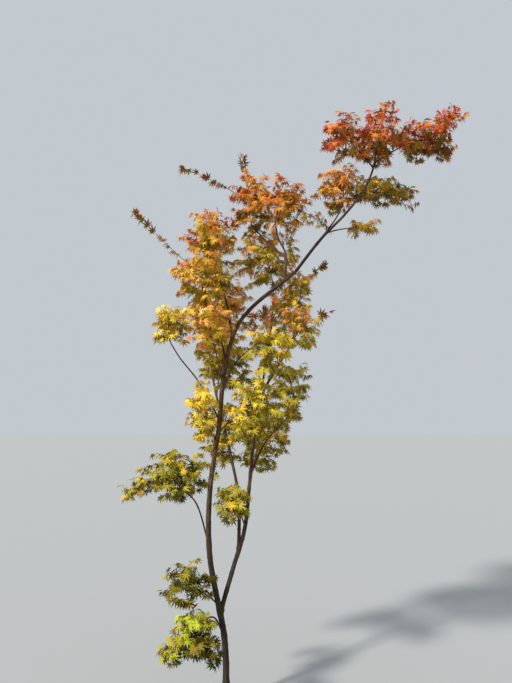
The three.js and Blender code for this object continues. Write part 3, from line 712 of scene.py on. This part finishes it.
def grow_shoots(space, spaces, wood):
    """The stem of a mass, its main twigs and whips, and the fine twigs that they carry."""

    def is_clear(curve, shares):
        points = curve.points(shares)
        return belongs(space, spaces, points).all() and wood.clears(points).all()

    stem = Shoot(space.stem, space.stem_radius, STEM["tip"], "stem")
    shoots = [stem]
    for tip, seat in main_tips(space):
        curve = twig_curve(space.stem.points(seat)[0], space.stem.ways(seat)[0], tip)
        if is_clear(curve, TWIG["tested"]):
            radius = min(TWIG["radius"], stem.radius(seat) * TWIG["of_parent"])
            shoots.append(Shoot(curve, radius, TWIG["tip"], "twig"))
    outer = []
    for kind, bend, tip in space.whips:
        foot = space.stem.points(WHIP["seat"])[0]
        curve = bent_curve(foot, np.array(bend, float), np.array(tip, float))
        shoots.append(Shoot(curve, WHIP["radius"], WHIP["tip"], kind))
        if kind in SPRAYS:
            outer += spray_tips(space, curve, SPRAYS[kind])

    seats = Seats()
    for shoot in shoots:
        if shoot.kind != "thin":
            seats.offer(shoot, SEATS["first"])
    fine = [("fine", tip) for tip in fine_tips(space)]
    for kind, tip in fine + [("outer", tip) for tip in outer]:
        best, length = seats.best_for(tip)
        if not SHOOT["shortest"] < length < SHOOT["longest"]:
            continue
        curve = twig_curve(seats.places[best], seats.ways[best], tip)
        if kind == "outer" or is_clear(curve, SHOOT["tested"]):
            radius = min(SHOOT["radius"], seats.radii[best] * TWIG["of_parent"])
            shoot = Shoot(curve, radius, SHOOT["tip"], kind)
            shoots.append(shoot)
            seats.offer(shoot, SEATS["first_on_fine"])
    return shoots


def thin_seats(length, random):
    """The seats of a thin whip's leaves: a tuft at its tip, and single leaves from there back."""
    small, large = THIN["tuft_sizes"]
    seats = []
    for i in range(THIN["tuft"]):
        share = 1 - THIN["tuft_length"] * random() / length
        seats.append((share, 1 - i % 2 * 2, small + (large - small) * random()))
    small, large = THIN["sizes"]
    least, most = THIN["gap"]
    share = 1 - THIN["tuft_length"] / length
    side = 1
    while share > THIN["from"]:
        seats.append((share, side, small + (large - small) * random()))
        share -= (least + (most - least) * random()) / length
        side = -side if random() < THIN["change_side"] else side
    return seats


def leaf_seats(shoot, random):
    """Where leaves grow on a shoot from its tip back: the share of its length, which side they are
    on (0 at the tip itself) and their size."""
    length = shoot.curve.length
    seats = [(1, 0, LEAF["size"])]
    if shoot.kind == "thin":
        return seats + thin_seats(length, random)
    for k in range(LEAF_PAIRS[shoot.kind]):
        share = 1 - LEAF["spacing"] * (k + LEAF["start"]) / length
        if share * length < LEAF["foot"]:
            break
        size = min(LEAF["size"] + LEAF["size_step"] * k, LEAF["size_most"])
        seats += [(share, 1, size), (share, -1, size)]
    return seats


def leaves_of(shoot, space, tint_at):
    """The leaves of a shoot. They turn their faces up and outwards, and hang."""
    random = space.random
    curve = shoot.curve
    thin = shoot.kind == "thin"
    least, most = THIN["hang"] if thin else LEAF["hang"]
    forward = THIN["forward"] if thin else LEAF["pair_forward"]
    leaves = []
    for share, sign, size in leaf_seats(shoot, random):
        foot = curve.points(share)[0]
        way = curve.ways(share)[0]
        if sign:
            out = unit(np.cross(way, UP)) * sign
            way = unit(way * forward + out + UP * LEAF["pair_rise"] * (random() - 0.5))
        along = way if thin else unit(way * (1, 1, LEAF["level"]))
        along = unit(along - UP * (least + (most - least) * random()))
        face = UP + unit((foot - space.centre) * (1, 1, 0)) * LEAF["face"]
        over = unit(face - along * np.dot(face, along))
        roll = LEAF["roll"] * (random() - 0.5)
        over = over * math.cos(roll) + np.cross(along, over) * math.sin(roll)
        size = size * (1 + LEAF["vary"] * (random() - 0.5))
        by_way, by_leaf = LEAF["stalk_ways"]
        stalk_way = unit(way * by_way + along * by_leaf)
        stretch = LEAF["stalk_least"] + LEAF["stalk_vary"] * random()
        joint = foot + stalk_way * LEAF["stalk"] * size * stretch
        side = np.cross(over, along)
        leaves.append(Leaf(foot, joint, along, side, over, LEAF["length"] * size, tint_at(share)))
    return leaves


def blade_shape(bend, fold):
    """A leaf's blade as vertices and faces, its middle lobe 1 long: along, side and over. The lobes
    bend down to their tips by bend, and each folds up at its edges by fold."""
    vertices = [(0, 0, 0)]
    faces = []

    def place(angle, reach, offset=0, lift=0):
        turn = math.radians(angle)
        x = reach * math.cos(turn) - offset * math.sin(turn)
        y = reach * math.sin(turn) + offset * math.cos(turn)
        vertices.append((x, y, lift - bend * (x * x + y * y)))
        return len(vertices) - 1

    lobes = [(-a, l, w) for a, l, w in LOBES[:0:-1]] + LOBES
    notches = [(-a, l) for a, l in NOTCHES[::-1]] + NOTCHES
    corner, reach = BLADE["corner"]
    edge = [place(-corner, reach, lift=fold * BLADE["corner_fold"])]
    edge += [place(angle, reach, lift=fold * BLADE["notch_fold"]) for angle, reach in notches]
    edge.append(place(corner, reach, lift=fold * BLADE["corner_fold"]))
    for i, (angle, length, width) in enumerate(lobes):
        rib = place(angle, length * BLADE["rib"])
        right = place(angle, length * BLADE["widest"], -width, fold * width)
        left = place(angle, length * BLADE["widest"], width, fold * width)
        tip = place(angle, length)
        faces += [(0, edge[i], right), (0, right, rib), (0, rib, left), (0, left, edge[i + 1])]
        faces += [(rib, right, tip), (rib, tip, left)]
    return np.array(vertices), np.array(faces)


BLADES = [blade_shape(bend, fold) for bend, fold in BENDS_AND_FOLDS]


def column(leaves, part):
    return np.array([getattr(leaf, part) for leaf in leaves])


def repeated(vertices, faces):
    """Many copies of one shape as one mesh, from the vertices of each and the faces of the first."""
    copies = faces[None] + (np.arange(len(vertices)) * vertices.shape[1])[:, None, None]
    return vertices.reshape(-1, 3), copies.reshape(-1, 3)


def blades_mesh(leaves, blade, faces):
    axes = np.stack([column(leaves, part) for part in ("along", "side", "over")], 1)
    axes = axes * column(leaves, "length")[:, None, None]
    vertices = column(leaves, "joint")[:, None] + np.einsum("vk,nkj->nvj", blade, axes)
    return repeated(vertices, faces)


def stalks_mesh(leaves):
    foot, joint = column(leaves, "foot"), column(leaves, "joint")
    way = unit(joint - foot)
    across = unit(np.cross(way, OFF_UPRIGHT))
    third = np.cross(way, across)
    corners = []
    for end, width in ((foot, 1), (joint, STALK_TAPER)):
        for k in range(STALK_SIDES):
            turn = 2 * math.pi * k / STALK_SIDES
            out = across * math.cos(turn) + third * math.sin(turn)
            corners.append(end + out * LEAF["stalk_radius"] * width)
    faces = []
    for k in range(STALK_SIDES):
        turned = (k + 1) % STALK_SIDES
        faces += [(k, turned, turned + STALK_SIDES), (k, turned + STALK_SIDES, k + STALK_SIDES)]
    return repeated(np.stack(corners, 1), np.array(faces))


def leaves_mesh(leaves):
    """Blades and stalks of many leaves as one mesh. The shapes of blade take turns."""
    parts = []
    for i, (blade, faces) in enumerate(BLADES):
        own = leaves[i :: len(BLADES)]
        if own:
            parts.append(blades_mesh(own, blade, faces))
    return joined([*parts, stalks_mesh(leaves)])


def place_of_spray(space, shoot):
    """Where a spray's tint is in its palette: further on towards the sunny edge of its mass, partly as
    painted light and shade.
    """
    tip = shoot.curve.points(1)[0]
    out = (tip - space.centre) / space.half
    out = out / max(np.linalg.norm(out), 1)
    x, y, z = out
    sun = SUN["out"] * np.linalg.norm(out) + SUN["up"] * z - SUN["left"] * x - SUN["front"] * y
    place = sun + SUN["chance"] * (space.random() - 0.5) + SUN["start"]
    return min(max(place, 0), JUST_UNDER_ONE) * len(space.tints)


def tint_picker(space, shoot):
    """The rule for the tints of a shoot's leaves: those of a thin whip turn along its length, and
    those of any other shoot keep near the tint of its spray."""
    thin = shoot.kind == "thin"
    tints = THIN_TINTS if thin else space.tints
    spray = place_of_spray(space, shoot)

    def tint_at(share):
        place = (share + space.random()) / 2 * len(tints) if thin else spray
        place += TINT_SPREAD * (space.random() - 0.5)
        return tints[int(min(max(place, 0), len(tints) - 1))]

    return tint_at


def kept_leaves(space, wood, leaves):
    """The leaves that keep to the space of their mass and off the limbs."""
    joints = column(leaves, "joint")
    reach = column(leaves, "along") * column(leaves, "length")[:, None]
    ends = joints + reach * LEAF["near_tip"]
    middles = joints + reach * 0.5
    kept = (space.depth(ends) <= LEAF_EDGE) & wood.clears(middles)
    return [leaf for leaf, keep in zip(leaves, kept) if keep]


def shoot_mesh(shoot):
    sides, steps = TUBES[shoot.kind]

    def radius_at(along, angle, height):
        return shoot.radius(along / shoot.curve.length)

    return tube(shoot.curve, radius_at, sides, steps)


def grow_mass(space, spaces, wood):
    """The twigs of a mass as one mesh, and its leaves."""
    shoots = grow_shoots(space, spaces, wood)
    leaves = []
    for shoot in shoots:
        own = leaves_of(shoot, space, tint_picker(space, shoot))
        leaves += kept_leaves(space, wood, own) if shoot.kind in MASS_KINDS else own
    return joined([shoot_mesh(shoot) for shoot in shoots]), leaves


# Materials


def linear(colour):
    """A colour given as 0xRRGGBB, in the numbers that shaders use."""
    shares = [(colour >> shift & 255) / 255 for shift in (16, 8, 0)]
    return [s / 12.92 if s <= 0.04045 else ((s + 0.055) / 1.055) ** 2.4 for s in shares] + [1]


class Look:
    """A material, with short ways to set its shader and to add nodes."""

    def __init__(self, name, roughness):
        self.material = bpy.data.materials.new(name)
        self.material.use_nodes = True
        self.nodes = self.material.node_tree.nodes
        self.shader = self.nodes["Principled BSDF"]
        self.set("Roughness", roughness)

    def set(self, name, value):
        self.shader.inputs[name].default_value = value

    def link(self, output, inlet):
        self.material.node_tree.links.new(output, inlet)

    def grain(self):
        """Where a point would be on a straight limb."""
        node = self.nodes.new("ShaderNodeAttribute")
        node.attribute_name = "grain"
        return node.outputs["Vector"]

    def noise(self, places, scale, detail):
        node = self.nodes.new("ShaderNodeTexNoise")
        node.inputs["Scale"].default_value = scale
        node.inputs["Detail"].default_value = detail
        self.link(places, node.inputs["Vector"])
        return node.outputs["Fac"]

    def streaks(self, places, scale, stretch, detail):
        """Noise drawn out along the limb, the more the smaller stretch is."""
        node = self.nodes.new("ShaderNodeMapping")
        node.inputs["Scale"].default_value = (scale, scale, scale * stretch)
        self.link(places, node.inputs["Vector"])
        return self.noise(node.outputs["Vector"], 1, detail)

    def ramp(self, value, stops):
        """Colours by value: each stop is a value from 0 to 1 and its colour."""
        node = self.nodes.new("ShaderNodeValToRGB")
        elements = node.color_ramp.elements
        for i, (place, colour) in enumerate(stops):
            element = elements[i] if i < 2 else elements.new(place)
            element.position = place
            element.color = linear(colour)
        self.link(value, node.inputs["Fac"])
        return node.outputs["Color"]

    def mix(self, first, second, blend, share=None):
        node = self.nodes.new("ShaderNodeMix")
        node.data_type = "RGBA"
        node.blend_type = blend
        node.inputs["Factor"].default_value = 1
        if share:
            self.link(share, node.inputs["Factor"])
        self.link(first, node.inputs[6])
        self.link(second, node.inputs[7])
        return node.outputs[2]

    def height_shade(self, places, shades):
        """The painted shade of the bark, by the length in places."""
        parts = self.nodes.new("ShaderNodeSeparateXYZ")
        height = self.nodes.new("ShaderNodeMapRange")
        height.inputs["From Max"].default_value = PAINTED_SHADES_TOP * METRE
        self.link(places, parts.inputs["Vector"])
        self.link(parts.outputs["Z"], height.inputs["Value"])
        stops = [(place / PAINTED_SHADES_TOP, colour) for place, colour in shades]
        return self.ramp(height.outputs["Result"], stops)

    def bump(self, value, strength, distance):
        node = self.nodes.new("ShaderNodeBump")
        node.inputs["Strength"].default_value = strength
        node.inputs["Distance"].default_value = distance
        self.link(value, node.inputs["Height"])
        self.link(node.outputs["Normal"], self.shader.inputs["Normal"])


def leaf_material(tint):
    look = Look("leaf_" + tint, roughness=0.65)
    look.set("Base Color", linear(TINTS[tint][1]))
    look.set("Specular IOR Level", 0.08)
    return look.material


@cache
def bark_material(kind):
    """Bark with lengthwise streaks and pale patches, and painted shade along its length."""
    wood_colours, patch_colours = BARKS[kind]
    look = Look(kind, roughness=0.8)
    grain = look.grain()
    streaks = look.streaks(grain, scale=170, stretch=0.12, detail=4)
    wood = look.ramp(streaks, list(zip((0.3, 0.5, 0.72), wood_colours)))
    patches = look.streaks(grain, scale=38, stretch=0.5, detail=3)
    share = look.ramp(patches, [(0.5, 0x000000), (0.68, 0xFFFFFF)])
    specks = look.streaks(grain, scale=260, stretch=0.5, detail=2)
    pale = look.ramp(specks, list(zip((0.3, 0.7), patch_colours)))
    patched = look.mix(wood, pale, "MIX", share)
    shade = look.height_shade(grain, PAINTED_SHADES[kind])
    look.link(look.mix(patched, shade, "MULTIPLY"), look.shader.inputs["Base Color"])
    fissures = look.streaks(grain, scale=300, stretch=0.2, detail=5)
    look.bump(fissures, strength=0.5, distance=0.0006)
    return look.material


def twig_material():
    """Reddish-brown bark of young twigs, paler here and there."""
    look = Look("twig", roughness=0.6)
    spots = look.noise(look.grain(), scale=30, detail=2)
    colour = look.ramp(spots, [(0.35, 0x4A2C24), (0.65, 0x7E523E)])
    look.link(colour, look.shader.inputs["Base Color"])
    return look.material


# Stage, light and camera


# Lengths here are in metres, and the width of the light and the camera's tilt in degrees
FLOOR = {"size": 60, "colour": (0.42, 0.43, 0.44, 1)}
SKY = {"colour": (0.80, 0.86, 0.91, 1), "strength": 0.68}
KEY_LIGHT = {"way": (1.0, 0.75, -0.8), "energy": 4.1, "width": 6, "colour": (1.0, 0.96, 0.88)}
CAMERA = {"at": (0.145, -2.7, 1.40), "tilt": 7.9, "lens": 27.04, "sensor": 36}


def add_stage():
    bpy.ops.mesh.primitive_plane_add(size=FLOOR["size"])
    floor = bpy.context.object
    floor.name = "floor"
    look = Look("floor", roughness=0.95)
    look.set("Base Color", FLOOR["colour"])
    floor.data.materials.append(look.material)
    world = bpy.context.scene.world or bpy.data.worlds.new("world")
    bpy.context.scene.world = world
    world.use_nodes = True
    sky = world.node_tree.nodes["Background"]
    sky.inputs["Color"].default_value = SKY["colour"]
    sky.inputs["Strength"].default_value = SKY["strength"]


def add_light():
    """A strong and slightly soft light, like a rather low sun, from the left and the front."""
    data = bpy.data.lights.new("key", "SUN")
    data.energy = KEY_LIGHT["energy"]
    data.angle = math.radians(KEY_LIGHT["width"])
    data.color = KEY_LIGHT["colour"]
    lamp = bpy.data.objects.new("key", data)
    lamp.rotation_mode = "QUATERNION"
    lamp.rotation_quaternion = Vector(KEY_LIGHT["way"]).to_track_quat("-Z", "Y")
    bpy.context.scene.collection.objects.link(lamp)


def add_camera():
    """A camera in front of the tree, tilted up a little."""
    data = bpy.data.cameras.new("camera")
    data.sensor_width = CAMERA["sensor"]
    data.lens = CAMERA["lens"]
    camera = bpy.data.objects.new("camera", data)
    camera.location = CAMERA["at"]
    camera.rotation_euler = (math.radians(90 + CAMERA["tilt"]), 0, 0)
    bpy.context.scene.collection.objects.link(camera)
    bpy.context.scene.camera = camera


def main():
    limbs = {}
    for name in LIMBS:
        limbs[name] = Limb(name, limbs)
    for name in LIMBS:
        build_limb(name, limbs)
    wood = Wood(limbs)
    spaces = [Space(name, limbs, FIRST_SEED + i) for i, name in enumerate(MASSES)]
    twig = twig_material()
    leaves = {tint: [] for tint in TINTS}
    homes = {tint: set() for tint in TINTS}
    for space in spaces:
        (vertices, faces, grain), grown = grow_mass(space, spaces, wood)
        add_piece(space.name + "_twigs", vertices, faces, twig, "bark", [space.name], grain)
        for leaf in grown:
            leaves[leaf.tint].append(leaf)
            homes[leaf.tint].add(space.name)
    for tint, dealt in leaves.items():
        vertices, faces = leaves_mesh(dealt)
        material, slot = leaf_material(tint), TINTS[tint][0]
        add_piece("leaves_" + tint, vertices, faces, material, slot, sorted(homes[tint]))
    add_stage()
    add_light()
    add_camera()
    bpy.context.scene.view_settings.view_transform = "Standard"


main()
